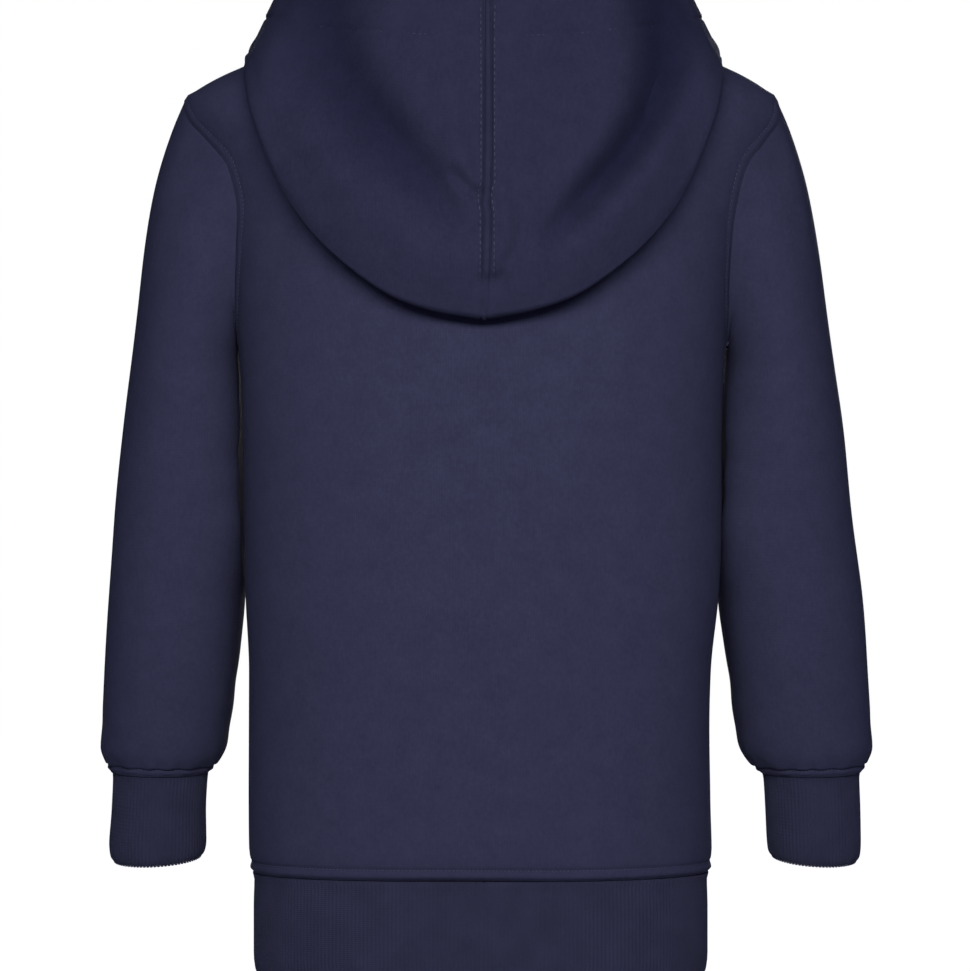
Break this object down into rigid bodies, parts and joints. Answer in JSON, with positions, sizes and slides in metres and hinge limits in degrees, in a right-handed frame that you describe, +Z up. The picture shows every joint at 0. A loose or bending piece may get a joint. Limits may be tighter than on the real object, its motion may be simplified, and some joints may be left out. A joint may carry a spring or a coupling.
{
  "type": "zip-up hoodie",
  "caption": "Hooded sweatshirt with a full front zip, hood lying down the back, ribbed cuffs and hem band, held as if worn with nothing inside.",
  "frame": {"origin": "middle of the neck, level with the high ends of the shoulder seams, where a wearer or a form holds it", "axes": "+Z up along the wearer's spine, -Y the front with the zip, +X the wearer's left"},
  "size_m": [0.4684, 0.2278, 0.595],
  "materials": {
    "fleece": "navy cotton-rich sweatshirt fleece, fine smooth knit outside",
    "rib": "navy doubled rib knit",
    "zip_tape": "dark navy woven tape",
    "zip_teeth": "dark navy moulded resin",
    "zip_metal": "satin zinc alloy"
  },
  "bodies": {
    "garment": {"back_panel": "fleece", "front_left": "fleece", "front_right": "fleece", "sleeve_left": "fleece", "sleeve_right": "fleece", "hood_left": "fleece", "hood_right": "fleece", "hem_band": "rib", "cuff_left": "rib", "cuff_right": "rib", "zip_tape_left": "zip_tape", "zip_tape_right": "zip_tape", "zip_chain": "zip_teeth", "zip_slider": "zip_metal"},
    "pull_tab": {"pull_tab": "zip_metal"}
  },
  "joints": [
    {"name": "pull_tab_hinge", "type": "hinge", "parent": "garment", "child": "pull_tab", "pos_m": [-0.00095, -0.08142, -0.07626], "axis": [-1, 0, 0], "range_deg": [0, 150]}
  ]
}
